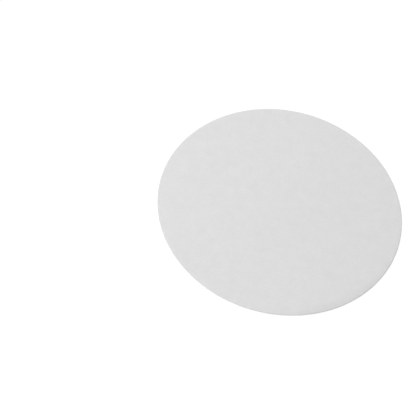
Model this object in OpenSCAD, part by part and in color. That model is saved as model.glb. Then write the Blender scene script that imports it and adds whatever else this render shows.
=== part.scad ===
// Filter paper disc: one round sheet of unglazed paper, punched out of the web with a round
// steel die. It lies flat on its underside, with the die's entry side up. Millimetres, +Z up,
// origin at the centre of the underside.

/* [Disc] */
// Diameter of the disc, across the cut edge
disc_d = 110; // [55:1:240]
// Thickness of the paper
paper_t = 0.18; // [0.12:0.01:0.50]

/* [Punched edge] */
// Width of the band at the upper rim that the die drags down as it enters
roll_w = 0.25; // [0.10:0.01:0.60]
// Depth of that band at the cut itself
roll_h = 0.05; // [0.01:0.01:0.06]
// Radius left at the lower rim, where the last fibres part
break_r = 0.02; // [0.01:0.005:0.04]

/* [Look] */
// Colour of the paper
paper_colour = "#dddddd"; // ["#dddddd":Soft white, "#f4f4f1":Bright white]

/* [Hidden] */
disc_r = disc_d / 2;
// The dragged-down band is an arc that leaves the upper face without a kink and has fallen
// by roll_h where it meets the cut.
roll_r = (roll_w * roll_w + roll_h * roll_h) / (2 * roll_h);
// Sides drawn around the disc, and around the arcs of its section
disc_sides = 256;
arc_sides = 256;

// What the die takes off the upper corner of the section, apart from the arc it leaves
module upper_corner() {
    difference() {
        translate([disc_r - roll_w, paper_t - roll_h])
            square([roll_w * 2, roll_h * 2]);
        translate([disc_r - roll_w, paper_t - roll_r])
            circle(r = roll_r, $fn = arc_sides);
    }
}

// What is missing from the lower corner of the section, outside its rounding
module lower_corner() {
    difference() {
        translate([disc_r - break_r, -break_r])
            square(break_r * 2);
        translate([disc_r - break_r, break_r])
            circle(r = break_r, $fn = arc_sides);
    }
}

// Section of the sheet from its centre line to the cut edge
module sheet_section() {
    difference() {
        square([disc_r, paper_t]);
        upper_corner();
        lower_corner();
    }
}

module filter_disc() {
    color(paper_colour)
        rotate_extrude($fn = disc_sides)
            sheet_section();
}

filter_disc();
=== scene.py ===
"""Models one sheet of round filter paper, as it lies on a bench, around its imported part.

The script is laid out as an add-on and is run as a script. Everything is in metres, in the
part's own frame: +Z up, the origin at the centre of the underside.
"""

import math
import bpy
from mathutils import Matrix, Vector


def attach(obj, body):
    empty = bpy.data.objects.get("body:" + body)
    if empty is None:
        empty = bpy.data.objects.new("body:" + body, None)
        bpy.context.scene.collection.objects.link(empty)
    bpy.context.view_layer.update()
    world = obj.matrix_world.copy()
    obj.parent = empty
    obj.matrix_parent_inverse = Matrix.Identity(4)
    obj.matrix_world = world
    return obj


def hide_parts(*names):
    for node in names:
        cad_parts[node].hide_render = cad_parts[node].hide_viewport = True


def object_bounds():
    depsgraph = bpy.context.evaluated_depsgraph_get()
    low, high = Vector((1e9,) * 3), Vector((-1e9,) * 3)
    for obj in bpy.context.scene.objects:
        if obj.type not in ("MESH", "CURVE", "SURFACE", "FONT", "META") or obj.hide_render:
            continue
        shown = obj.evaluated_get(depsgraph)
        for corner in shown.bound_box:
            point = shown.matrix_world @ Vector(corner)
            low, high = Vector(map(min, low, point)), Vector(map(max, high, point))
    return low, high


bl_info = {
    "name": "Filter Paper Disc",
    "version": (1, 0, 0),
    "blender": (4, 5, 0),
    "location": "3D View > Sidebar > Filter Paper",
    "description": "Makes a laid sheet of round filter paper, its material, floor, light and camera",
    "category": "Add Mesh",
}

import bmesh
import bpy
from bpy.props import FloatProperty, FloatVectorProperty, PointerProperty
from mathutils import Quaternion, Vector, noise

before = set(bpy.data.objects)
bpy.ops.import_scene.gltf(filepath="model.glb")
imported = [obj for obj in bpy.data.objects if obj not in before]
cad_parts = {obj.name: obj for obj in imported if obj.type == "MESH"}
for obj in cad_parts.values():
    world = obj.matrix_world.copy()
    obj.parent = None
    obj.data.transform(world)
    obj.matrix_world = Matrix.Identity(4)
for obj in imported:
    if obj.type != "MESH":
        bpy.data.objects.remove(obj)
cad_low, cad_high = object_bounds()

BODY = "root"
NODE = "filter_disc"
MM = 0.001

# The sheet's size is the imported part's, to a tenth of a millimetre across and a hundredth through.
DISC_D = round(max(cad_high.x - cad_low.x, cad_high.y - cad_low.y), 4)
PAPER_T = round(cad_high.z - cad_low.z, 5)


# ---------------------------------------------------------------- small helpers

# Sockets of a Mix node that mixes colours. Others share their names, so they go by number.
MIX_FACTOR = 0
MIX_FIRST = 6
MIX_SECOND = 7
MIXED = 2


def linear(hex_colour):
    """An sRGB hex colour, such as "#dddddd", as linear red, green and blue."""
    parts = [int(hex_colour[i : i + 2], 16) / 255 for i in (1, 3, 5)]
    return tuple(c / 12.92 if c <= 0.04045 else ((c + 0.055) / 1.055) ** 2.4 for c in parts)


def add_node(tree, kind, settings=None, links=None):
    """Adds a node of that kind, sets its properties and sockets, and links its inputs.

    settings maps a property's name, or an input's name or number, to its value. links maps an
    input's name or number to the output that feeds it.
    """
    node = tree.nodes.new(kind)
    inputs_set = {}
    for key, value in (settings or {}).items():
        if isinstance(key, str) and hasattr(node, key):
            setattr(node, key, value)
        else:
            inputs_set[key] = value
    # Properties come first, because some of them say which inputs are in use.
    for key, value in inputs_set.items():
        node.inputs[key].default_value = value
    for key, output in (links or {}).items():
        tree.links.new(output, node.inputs[key])
    return node


def new_material(name):
    """A node material with no nodes yet, and its tree."""
    material = bpy.data.materials.new(name)
    material.use_nodes = True
    material.node_tree.nodes.clear()
    return material, material.node_tree


def apply_modifier(obj, kind, **settings):
    """Adds a modifier to obj, which is the active object, sets it up and applies it."""
    modifier = obj.modifiers.new(kind.title(), kind)
    for key, value in settings.items():
        setattr(modifier, key, value)
    bpy.ops.object.modifier_apply(modifier=modifier.name)


def select_where(obj, test):
    """In edit mode, selects the vertices whose place passes the test."""
    bpy.ops.mesh.select_mode(type="VERT")
    bpy.ops.mesh.select_all(action="DESELECT")
    mesh = bmesh.from_edit_mesh(obj.data)
    found = [v for v in mesh.verts if test(v.co)]
    if not found:
        raise RuntimeError(f"{obj.name} has no vertex in the place that is shaped next")
    for v in found:
        v.select = True
    mesh.select_flush(True)
    bmesh.update_edit_mesh(obj.data)


# ---------------------------------------------------------------- sizes and colours


class SheetSettings(bpy.types.PropertyGroup):
    """Sizes and colours of the sheet of filter paper."""

    diameter: FloatProperty(
        name="Diameter", description="Across the cut edge", default=DISC_D, unit="LENGTH"
    )
    thickness: FloatProperty(
        name="Thickness", description="Thickness of the paper", default=PAPER_T, unit="LENGTH"
    )
    drag_width: FloatProperty(
        name="Drag width",
        description="Width of the band at the upper rim that the die drags down",
        default=0.25 * MM,
        unit="LENGTH",
    )
    drag_depth: FloatProperty(
        name="Drag depth",
        description="Depth of that band at the cut itself",
        default=0.05 * MM,
        unit="LENGTH",
    )
    break_radius: FloatProperty(
        name="Break radius",
        description="Radius left at the lower rim, where the last fibres part",
        default=0.02 * MM,
        unit="LENGTH",
    )
    cut_roughness: FloatProperty(
        name="Cut roughness",
        description="How far the cut wanders in and out where it tears between fibres",
        default=0.03 * MM,
        unit="LENGTH",
    )
    curl: FloatProperty(
        name="Curl",
        description="How far the middle stands above the two ends that the sheet curls down to",
        default=1.4 * MM,
        unit="LENGTH",
    )
    cross_curl: FloatProperty(
        name="Cross curl",
        description="Curl across the main one, as a share of it",
        default=0.88,
        subtype="FACTOR",
        min=0,
        max=1,
    )
    rim_lift: FloatProperty(
        name="Rim lift",
        description="How much further the rim stands off the floor where it lifts most",
        default=0.45 * MM,
        unit="LENGTH",
    )
    lift_turn: FloatProperty(
        name="Lift turn",
        description="Where the rim lifts, measured from +X towards +Y",
        default=math.radians(100),
        subtype="ANGLE",
    )
    droop: FloatProperty(
        name="Droop",
        description="How far the rim is bent down at the side where the sheet was held",
        default=0.24 * MM,
        unit="LENGTH",
    )
    droop_turn: FloatProperty(
        name="Droop turn",
        description="Where the sheet was held, measured from +X towards +Y",
        default=math.radians(-47),
        subtype="ANGLE",
    )
    droop_width: FloatProperty(
        name="Droop width",
        description="Width of the band that is bent down",
        default=4.0 * MM,
        unit="LENGTH",
    )
    cockle: FloatProperty(
        name="Cockle",
        description="Height of the soft hollows and swells that drying leaves",
        default=0.12 * MM,
        unit="LENGTH",
    )
    formation: FloatProperty(
        name="Formation",
        description="How much thicker the paper is where its fibres clouded together",
        default=0.012 * MM,
        unit="LENGTH",
    )
    fibre_colour: FloatVectorProperty(
        name="Fibre colour",
        description="Colour of the fibres that lie uppermost",
        subtype="COLOR",
        size=3,
        min=0,
        max=1,
        default=linear("#e7e7e7"),
    )
    # Painted shade: the pores, and the fibres that lie lower, are given this darker colour in place
    # of the shade that falls in among the fibres.
    pore_shade_colour: FloatVectorProperty(
        name="Pore colour",
        description="Colour of the pores between them",
        subtype="COLOR",
        size=3,
        min=0,
        max=1,
        default=linear("#d7d7d7"),
    )
    # Painted shade: a narrow band at the rim is given this darker colour, in place of the thin line
    # of shade along the cut edge.
    rim_shade_colour: FloatVectorProperty(
        name="Rim colour",
        description="Colour of the narrow rim that the die pressed dense",
        subtype="COLOR",
        size=3,
        min=0,
        max=1,
        default=linear("#dadada"),
    )


class StageSettings(bpy.types.PropertyGroup):
    """Floor, light and camera."""

    floor_side: FloatProperty(
        name="Floor side", description="Side of the white floor", default=8.0, unit="LENGTH"
    )
    key_level: FloatProperty(
        name="Key light",
        description="Share of the light that comes from the lamp, on a level surface",
        default=0.60,
        subtype="FACTOR",
        min=0,
        max=1,
    )
    room_level: FloatProperty(
        name="Room light",
        description="Share of the light that comes from all around",
        default=0.40,
        subtype="FACTOR",
        min=0,
        max=1,
    )
    floor_glow: FloatProperty(
        name="Floor glow",
        description="Share of the floor's white that stays in a shadow, as on a lit table",
        default=0.55,
        subtype="FACTOR",
        min=0,
        max=1,
    )
    floor_colour: FloatVectorProperty(
        name="Floor colour",
        description="Colour of the floor in the light that it throws back on the sheet",
        subtype="COLOR",
        size=3,
        min=0,
        max=1,
        default=linear("#e6e6e6"),
    )
    key_height: FloatProperty(
        name="Key height",
        description="Angle of the lamp above the floor",
        default=math.radians(36),
        subtype="ANGLE",
    )
    key_turn: FloatProperty(
        name="Key turn",
        description="Direction that the lamp's light comes from, measured from +X towards +Y",
        default=math.radians(180),
        subtype="ANGLE",
    )
    key_softness: FloatProperty(
        name="Key softness",
        description="How wide the lamp looks from the floor",
        default=math.radians(35),
        subtype="ANGLE",
    )
    lens: FloatProperty(
        name="Lens", description="Focal length of the camera", default=216.0, unit="CAMERA"
    )
    distance: FloatProperty(
        name="Distance",
        description="From the camera to the middle of the sheet",
        default=1.111,
        unit="LENGTH",
    )
    elevation: FloatProperty(
        name="Elevation",
        description="Angle at which the camera looks down on the sheet",
        default=math.radians(54.9),
        subtype="ANGLE",
    )
    roll: FloatProperty(
        name="Roll",
        description="Turn of the camera about its own line of sight",
        default=math.radians(15.2),
        subtype="ANGLE",
    )
    aim: FloatVectorProperty(
        name="Aim",
        description="How far right of the sheet's middle, and above it, the camera aims",
        size=2,
        default=(-0.0321, 0.0008),
        unit="LENGTH",
    )


# ---------------------------------------------------------------- stage: camera, floor, light

WHITE = (1, 1, 1, 1)
# Strength of the floor's glow: a little over white, so that no grain of the light shows on it.
GLOW_STRENGTH = 1.08


def make_camera(stage, middle):
    """A long lens that looks down on the sheet, rolled a little and aimed beside its middle."""
    data = bpy.data.cameras.new("camera")
    data.lens = stage.lens
    camera = bpy.data.objects.new("camera", data)
    bpy.context.scene.collection.objects.link(camera)
    back = Vector((0, -math.cos(stage.elevation), math.sin(stage.elevation)))
    rolled = Quaternion(back, stage.roll) @ back.to_track_quat("Z", "Y")
    # It stands straight back from the middle of the sheet, and swings to look beside it.
    aim = rolled @ Vector((*stage.aim, 0))
    swing = back.rotation_difference(back * stage.distance - aim)
    camera.location = middle + back * stage.distance
    camera.rotation_mode = "QUATERNION"
    camera.rotation_quaternion = swing @ rolled
    bpy.context.scene.camera = camera


def shown_white(tree):
    """1 where a surface is seen by the camera, or by way of a mirror or glass, and otherwise 0."""
    path = add_node(tree, "ShaderNodeLightPath")
    shown = path.outputs["Is Camera Ray"]
    for ray in ("Is Glossy Ray", "Is Transmission Ray"):
        either = add_node(
            tree, "ShaderNodeMath", {"operation": "MAXIMUM"}, {0: shown, 1: path.outputs[ray]}
        )
        shown = either.outputs[0]
    return shown


def floor_material(stage):
    """White opal acrylic over a lamp, ground matt: an even white with a light, soft shadow."""
    material, tree = new_material("matt_opal_acrylic")
    shown = shown_white(tree)
    white = add_node(
        tree, "ShaderNodeMix",
        {"data_type": "RGBA", MIX_FIRST: (*stage.floor_colour, 1), MIX_SECOND: WHITE},
        {MIX_FACTOR: shown},
    )
    matt = add_node(tree, "ShaderNodeBsdfDiffuse", None, {"Color": white.outputs[MIXED]})
    glow = add_node(tree, "ShaderNodeEmission", {"Color": WHITE, "Strength": GLOW_STRENGTH})
    share = add_node(
        tree, "ShaderNodeMath", {"operation": "MULTIPLY", 1: stage.floor_glow}, {0: shown}
    )
    surface = add_node(
        tree, "ShaderNodeMixShader", None,
        {0: share.outputs[0], 1: matt.outputs[0], 2: glow.outputs[0]},
    )
    add_node(tree, "ShaderNodeOutputMaterial", None, {"Surface": surface.outputs[0]})
    return material


def make_floor(stage):
    """One wide level pane at the height of the part's underside."""
    bpy.ops.object.select_all(action="DESELECT")
    bpy.ops.mesh.primitive_plane_add(size=stage.floor_side, location=(0, 0, cad_low.z))
    floor = bpy.context.object
    floor.name = "floor"
    bpy.ops.object.transform_apply(location=True, rotation=True, scale=True)
    floor.data.materials.append(floor_material(stage))


def make_world(stage):
    """Even light from all around, which is seen as plain white."""
    world = bpy.data.worlds.new("white_room")
    bpy.context.scene.world = world
    world.use_nodes = True
    tree = world.node_tree
    tree.nodes.clear()
    lit = add_node(tree, "ShaderNodeBackground", {"Color": WHITE, "Strength": stage.room_level})
    seen = add_node(tree, "ShaderNodeBackground", {"Color": WHITE, "Strength": 1})
    both = add_node(
        tree, "ShaderNodeMixShader", None,
        {0: shown_white(tree), 1: lit.outputs[0], 2: seen.outputs[0]},
    )
    add_node(tree, "ShaderNodeOutputWorld", None, {"Surface": both.outputs[0]})


def make_key_light(stage):
    """One wide soft lamp at the sheet's left, so far off that its light is the same all over."""
    data = bpy.data.lights.new("key_light", "SUN")
    data.angle = stage.key_softness
    # A sun of strength pi gives a level white surface a brightness of 1 from straight above.
    data.energy = stage.key_level * math.pi / math.sin(stage.key_height)
    lamp = bpy.data.objects.new("key_light", data)
    bpy.context.scene.collection.objects.link(lamp)
    # It shines down its own Z axis: tilted over towards +X, then turned to where it stands.
    lamp.rotation_euler = (0, math.pi / 2 - stage.key_height, stage.key_turn)


class FILTERPAPER_OT_stage(bpy.types.Operator):
    """Set the camera, the white floor and the soft studio light"""

    bl_idname = "filter_paper.stage"
    bl_label = "Stage"
    bl_options = {"REGISTER", "UNDO"}

    def execute(self, context):
        stage = context.scene.filter_paper_stage
        middle = (cad_low + cad_high) / 2
        make_camera(stage, middle)
        make_floor(stage)
        make_world(stage)
        make_key_light(stage)
        context.scene.view_settings.view_transform = "Standard"
        return {"FINISHED"}


# ---------------------------------------------------------------- paper

CLOUD_SIZE = 5.0 * MM  # fibres settle out of the water in soft clouds about this wide
GRAIN_SIZE = 0.45 * MM  # pores are 0.02 mm wide, and are drawn this coarse so that they show
# Cotton fibres are 0.02 mm thick and 2 to 4 mm long. They are drawn 10 times as thick, so that
# the felt that they make shows at arm's length.
FIBRE_LENGTH = 4.0 * MM
FIBRE_WIDTH = 0.2 * MM
FIBRE_SPACING = 0.8 * MM  # from one fibre to the next in one layer
FIBRE_LAYERS = 6  # each lies its own way, so the felt has no grain
LAYER_TURN = math.radians(31)  # from the way of one layer to that of the next
FIBRE_CREST = 0.2  # share of a fibre's width that is level on top
LOWEST_FIBRE = 0.4  # height of the deepest fibre of a layer, beside 1 for the topmost
CURL_SIZE = 4.2 * MM  # a fibre wanders from straight over about this length
CURLINESS = 1.3 * MM  # and this far
# What clouds, grain and fibres add to the height of the surface. They sum to 1.
CLOUD_SHARE = 0.3
GRAIN_SHARE = 0.3
FELT_SHARE = 0.4
RELIEF = 0.03 * MM  # from the pores to the topmost fibres
RIM_SHADE_WIDTH = 0.45 * MM  # narrow rim at the cut that is painted darker, as painted shade along the edge
CELLULOSE_IOR = 1.53
PAPER_SPECULAR = 0.25  # half the usual level, because the pores swallow what the fibres reflect
PORE_ROUGHNESS = 0.98
FIBRE_ROUGHNESS = 0.88
LIGHT_SPREAD = 0.2 * MM  # light strays through the fibres about the paper's own thickness
SPREAD_SHARE = 0.5  # share of the light that does


def curled(tree, place):
    """The place moved about at random, so that straight lines drawn on it turn out curly."""
    strays = add_node(
        tree, "ShaderNodeTexNoise",
        {"noise_dimensions": "2D", "Scale": 1 / CURL_SIZE, "Detail": 1}, {"Vector": place},
    )
    centred = add_node(
        tree, "ShaderNodeVectorMath", {"operation": "SUBTRACT", 1: (0.5, 0.5, 0.5)},
        {0: strays.outputs["Color"]},
    )
    moved = add_node(
        tree, "ShaderNodeVectorMath",
        {"operation": "MULTIPLY_ADD", 1: (2 * CURLINESS, 2 * CURLINESS, 0)},
        {0: centred.outputs[0], 2: place},
    )
    return moved.outputs[0]


def fibre_layer(tree, curly, layer):
    """Height of one layer of fibres that lie side by side, from 0 between them to about 1."""
    # Each layer takes its fibres one sheet further on than the last, so that no two are alike.
    along = add_node(
        tree, "ShaderNodeMapping",
        {
            "vector_type": "TEXTURE",
            "Location": (layer * DISC_D, 0, 0),
            "Rotation": (0, 0, layer * LAYER_TURN),
            "Scale": (FIBRE_LENGTH, FIBRE_SPACING, 1),
        },
        {"Vector": curly},
    )
    # Each cell is as long as a fibre and as wide as their spacing, and one fibre lies in it.
    cells = add_node(
        tree, "ShaderNodeTexVoronoi", {"voronoi_dimensions": "2D", "Scale": 1},
        {"Vector": along.outputs[0]},
    )
    from_middle = add_node(
        tree, "ShaderNodeVectorMath", {"operation": "SUBTRACT"},
        {0: along.outputs[0], 1: cells.outputs["Position"]},
    )
    # Measured in half lengths along the fibre and half widths across it, so 1 is its outline.
    in_halves = add_node(
        tree, "ShaderNodeVectorMath",
        {"operation": "MULTIPLY", 1: (2, 2 * FIBRE_SPACING / FIBRE_WIDTH, 0)},
        {0: from_middle.outputs[0]},
    )
    outward = add_node(
        tree, "ShaderNodeVectorMath", {"operation": "LENGTH"}, {0: in_halves.outputs[0]}
    )
    round_top = add_node(
        tree, "ShaderNodeMapRange",
        {"interpolation_type": "SMOOTHSTEP", "From Min": FIBRE_CREST, "To Min": 1, "To Max": 0},
        {"Value": outward.outputs["Value"]},
    )
    # Each cell has a random colour, and how light it is says how high its fibre lies.
    level = add_node(
        tree, "ShaderNodeMapRange", {"To Min": LOWEST_FIBRE}, {"Value": cells.outputs["Color"]}
    )
    fibre = add_node(
        tree, "ShaderNodeMath", {"operation": "MULTIPLY"},
        {0: round_top.outputs[0], 1: level.outputs[0]},
    )
    return fibre.outputs[0]


def felt(tree, place):
    """How high the topmost fibre lies, for layers of fibres that lie every way."""
    curly = curled(tree, place)
    top = fibre_layer(tree, curly, 0)
    for layer in range(1, FIBRE_LAYERS):
        higher = add_node(
            tree, "ShaderNodeMath", {"operation": "MAXIMUM"},
            {0: top, 1: fibre_layer(tree, curly, layer)},
        )
        top = higher.outputs[0]
    return top


def surface_height(tree, place):
    """Height of the paper's face: the felt of fibres, the clouds they lie in and the grain."""
    height = add_node(
        tree, "ShaderNodeMath", {"operation": "MULTIPLY", 1: FELT_SHARE}, {0: felt(tree, place)}
    )
    for size, share in ((CLOUD_SIZE, CLOUD_SHARE), (GRAIN_SIZE, GRAIN_SHARE)):
        pattern = add_node(
            tree, "ShaderNodeTexNoise", {"noise_dimensions": "2D", "Scale": 1 / size},
            {"Vector": place},
        )
        height = add_node(
            tree, "ShaderNodeMath", {"operation": "MULTIPLY_ADD", 1: share},
            {0: pattern.outputs[0], 2: height.outputs[0]},
        )
    return height.outputs[0]


def paper_material(sheet):
    """Unsized cotton filter paper, laid down wet, dried without pressing, with no coating.

    It gives the eye a soft neutral white that is dead matt from every side, very faintly
    cloudy, with a felt of fine curly fibres whose pores carry painted shade, and a narrow rim
    darkened with painted shade along the cut.
    """
    material, tree = new_material("unsized_cotton_filter_paper")
    place = add_node(tree, "ShaderNodeTexCoord").outputs["Object"]
    height = surface_height(tree, place)
    # The colour runs from the pore colour where the face lies lowest to the fibre colour where it is
    # highest. This is painted shade in the pores and under the upper fibres, and the clouds and
    # grain in the height add a faint tone that differs at random.
    shade = add_node(
        tree, "ShaderNodeMix",
        {
            "data_type": "RGBA",
            MIX_FIRST: (*sheet.pore_shade_colour, 1),
            MIX_SECOND: (*sheet.fibre_colour, 1),
        },
        {MIX_FACTOR: height},
    )
    flat_place = add_node(
        tree, "ShaderNodeVectorMath", {"operation": "MULTIPLY", 1: (1, 1, 0)}, {0: place}
    )
    from_centre = add_node(
        tree, "ShaderNodeVectorMath", {"operation": "LENGTH"}, {0: flat_place.outputs[0]}
    )
    radius = sheet.diameter / 2
    # Painted shade: the colour turns darker in a narrow band at the rim, along the cut edge.
    pressed = add_node(
        tree, "ShaderNodeMapRange",
        {
            "interpolation_type": "SMOOTHSTEP",
            "From Min": radius - RIM_SHADE_WIDTH,
            "From Max": radius,
        },
        {"Value": from_centre.outputs["Value"]},
    )
    colour = add_node(
        tree, "ShaderNodeMix",
        {"data_type": "RGBA", MIX_SECOND: (*sheet.rim_shade_colour, 1)},
        {MIX_FACTOR: pressed.outputs[0], MIX_FIRST: shade.outputs[MIXED]},
    )
    roughness = add_node(
        tree, "ShaderNodeMapRange", {"To Min": PORE_ROUGHNESS, "To Max": FIBRE_ROUGHNESS},
        {"Value": height},
    )
    bump = add_node(tree, "ShaderNodeBump", {"Distance": RELIEF}, {"Height": height})
    surface = add_node(
        tree, "ShaderNodeBsdfPrincipled",
        {
            "IOR": CELLULOSE_IOR,
            "Specular IOR Level": PAPER_SPECULAR,
            "Subsurface Weight": SPREAD_SHARE,
            "Subsurface Radius": (1, 1, 1),
            "Subsurface Scale": LIGHT_SPREAD,
        },
        {
            "Base Color": colour.outputs[MIXED],
            "Roughness": roughness.outputs[0],
            "Normal": bump.outputs[0],
        },
    )
    add_node(tree, "ShaderNodeOutputMaterial", None, {"Surface": surface.outputs[0]})
    return material


# ---------------------------------------------------------------- the sheet

RIM_SIDES = 64  # sides of the circle that the sheet is started from
# Widths of the rings inside the rim, as shares of the radius. The rest is a square grid.
RING_SHARES = (0.06, 0.08, 0.09, 0.09, 0.09, 0.09)
GRID_SPAN = RIM_SIDES // 4  # faces along each side of that grid
FINENESS = 3  # times that every face is then split in four
# Widths of the rings of faces in the dragged-down band, from the cut inwards, as shares of it.
DRAG_SHARES = (0.4, 0.6)
BREAK_SEGMENTS = 2  # faces across the rounding of the lower rim
TEAR_SPACING = 1.5 * MM  # from one nick of the cut to the next
COCKLE_SIZE = 24 * MM  # from one hollow to the next
SMOOTH_ANGLE = math.radians(40)  # faces that meet at less than this are shaded as one


def flat_disc(sheet):
    """A flat round face: rings of small faces at the rim and a square grid inside them."""
    radius = sheet.diameter / 2
    # Splitting draws the outline in to this share of the circle through its first corners.
    drawn_in = (2 + math.cos(math.tau / RIM_SIDES)) / 3
    bpy.ops.object.select_all(action="DESELECT")
    bpy.ops.mesh.primitive_circle_add(
        vertices=RIM_SIDES, radius=radius / drawn_in, fill_type="NGON", location=(0, 0, 0)
    )
    paper = bpy.context.object
    paper.name = "filter_paper_sheet"
    bpy.ops.object.mode_set(mode="EDIT")
    bpy.ops.mesh.select_mode(type="FACE")
    bpy.ops.mesh.select_all(action="SELECT")
    for share in RING_SHARES:
        bpy.ops.mesh.inset(thickness=share * radius)
    # The one face that is left in the middle gives way to the grid.
    bpy.ops.mesh.delete(type="ONLY_FACE")
    inner = (1 / drawn_in - sum(RING_SHARES)) * radius
    half_ring = RING_SHARES[-1] * radius / 2
    select_where(paper, lambda co: co.xy.length < inner + half_ring)
    bpy.ops.mesh.fill_grid(span=GRID_SPAN)
    bpy.ops.object.mode_set(mode="OBJECT")
    apply_modifier(paper, "SUBSURF", levels=FINENESS, render_levels=FINENESS)
    return paper


def punch(sheet, paper):
    """Gives the flat disc its thickness, and the edge that a round steel die leaves."""
    bpy.ops.object.mode_set(mode="EDIT")
    bpy.ops.mesh.select_mode(type="FACE")
    bpy.ops.mesh.select_all(action="SELECT")
    for share in DRAG_SHARES:
        bpy.ops.mesh.inset(thickness=share * sheet.drag_width)
    bpy.ops.object.mode_set(mode="OBJECT")
    apply_modifier(paper, "SOLIDIFY", thickness=sheet.thickness, offset=1)

    # The dragged-down band is an arc that leaves the upper face without a kink.
    band_start = sheet.diameter / 2 - sheet.drag_width
    arc = (sheet.drag_width**2 + sheet.drag_depth**2) / (2 * sheet.drag_depth)
    for v in paper.data.vertices:
        into_band = min(max(0, v.co.xy.length - band_start), sheet.drag_width)
        if v.co.z > sheet.thickness / 2:
            v.co.z -= arc - math.sqrt(arc**2 - into_band**2)

    bpy.ops.object.mode_set(mode="EDIT")
    cut = sheet.diameter / 2 - sheet.break_radius
    select_where(paper, lambda co: co.xy.length > cut and co.z < sheet.break_radius)
    bpy.ops.mesh.bevel(offset=sheet.break_radius, segments=BREAK_SEGMENTS, affect="EDGES")
    bpy.ops.object.mode_set(mode="OBJECT")


def roughen_cut(sheet, paper):
    """Moves the cut edge in and out a little, as it tears from fibre to fibre."""
    band_start = sheet.diameter / 2 - sheet.drag_width
    # The noise keeps mostly within 0.5 of 0, so with 0.5 added nearly all of the cut moves inwards.
    for v in paper.data.vertices:
        share = (v.co.xy.length - band_start) / sheet.drag_width
        if share > 0:
            spot = Vector((v.co.x, v.co.y, 0)) / TEAR_SPACING
            v.co.xy -= v.co.xy.normalized() * sheet.cut_roughness * share * (0.5 + noise.noise(spot))


def facing(turn, way):
    """1 where turn points the given way, falling smoothly to 0 at a right angle to it."""
    return max(0, math.cos(turn - way)) ** 2


def rise(sheet, x, y):
    """How far the sheet stands above the floor over a point, before it settles."""
    radius = sheet.diameter / 2
    across, along = x / radius, y / radius
    out = math.hypot(across, along)
    turn = math.atan2(along, across)
    height = sheet.curl * (1 - across**2 - sheet.cross_curl * along**2)
    height += sheet.rim_lift * facing(turn, sheet.lift_turn) * out**3
    # The sheet rises towards the side where it was held, and its rim bends down again there.
    bent = max(0, 1 - (1 - out) * radius / sheet.droop_width)
    height += sheet.droop * facing(turn, sheet.droop_turn) ** 2 * (out**2 - bent**2)
    return height


def displace(paper, name, size, height, direction):
    """Raises and lowers the sheet by a cloudy pattern of that size and height."""
    pattern = bpy.data.textures.new(name, "CLOUDS")
    pattern.noise_scale = size
    pattern.noise_depth = 1
    apply_modifier(
        paper, "DISPLACE",
        texture=pattern, texture_coords="LOCAL", direction=direction,
        strength=height, mid_level=0.5,
    )


def lay(sheet, paper):
    """Gives the flat sheet the form of one that was dried, handled and laid on a bench."""
    for v in paper.data.vertices:
        v.co.z += rise(sheet, v.co.x, v.co.y)
    displace(paper, "cockle", COCKLE_SIZE, sheet.cockle, "Z")
    displace(paper, "formation", CLOUD_SIZE, sheet.formation, "NORMAL")
    lowest = min(v.co.z for v in paper.data.vertices)
    for v in paper.data.vertices:
        v.co.z += cad_low.z - lowest


class FILTERPAPER_OT_sheet(bpy.types.Operator):
    """Make the sheet of filter paper as it lies on the bench"""

    bl_idname = "filter_paper.sheet"
    bl_label = "Filter paper sheet"
    bl_options = {"REGISTER", "UNDO"}

    def execute(self, context):
        sheet = context.scene.filter_paper_sheet
        paper = flat_disc(sheet)
        punch(sheet, paper)
        roughen_cut(sheet, paper)
        lay(sheet, paper)
        bpy.ops.object.shade_smooth_by_angle(angle=SMOOTH_ANGLE)
        paper.data.materials.append(paper_material(sheet))
        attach(paper, BODY)
        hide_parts(NODE)
        return {"FINISHED"}


# ---------------------------------------------------------------- panel and registration


class FILTERPAPER_PT_panel(bpy.types.Panel):
    """Lists what the script can make, with the sizes and colours of each"""

    bl_idname = "FILTERPAPER_PT_panel"
    bl_label = "Filter Paper"
    bl_space_type = "VIEW_3D"
    bl_region_type = "UI"
    bl_category = "Filter Paper"

    def draw(self, context):
        for maker, settings in (
            (FILTERPAPER_OT_stage, context.scene.filter_paper_stage),
            (FILTERPAPER_OT_sheet, context.scene.filter_paper_sheet),
        ):
            column = self.layout.column(align=True)
            column.operator(maker.bl_idname)
            for name in type(settings).__annotations__:
                column.prop(settings, name)


CLASSES = (
    SheetSettings,
    StageSettings,
    FILTERPAPER_OT_stage,
    FILTERPAPER_OT_sheet,
    FILTERPAPER_PT_panel,
)


def register():
    for cls in CLASSES:
        bpy.utils.register_class(cls)
    bpy.types.Scene.filter_paper_sheet = PointerProperty(type=SheetSettings)
    bpy.types.Scene.filter_paper_stage = PointerProperty(type=StageSettings)


def unregister():
    del bpy.types.Scene.filter_paper_stage
    del bpy.types.Scene.filter_paper_sheet
    for cls in reversed(CLASSES):
        bpy.utils.unregister_class(cls)


def main():
    """Makes the stage and the sheet."""
    register()
    bpy.ops.filter_paper.stage()
    bpy.ops.filter_paper.sheet()


if __name__ == "__main__":
    main()
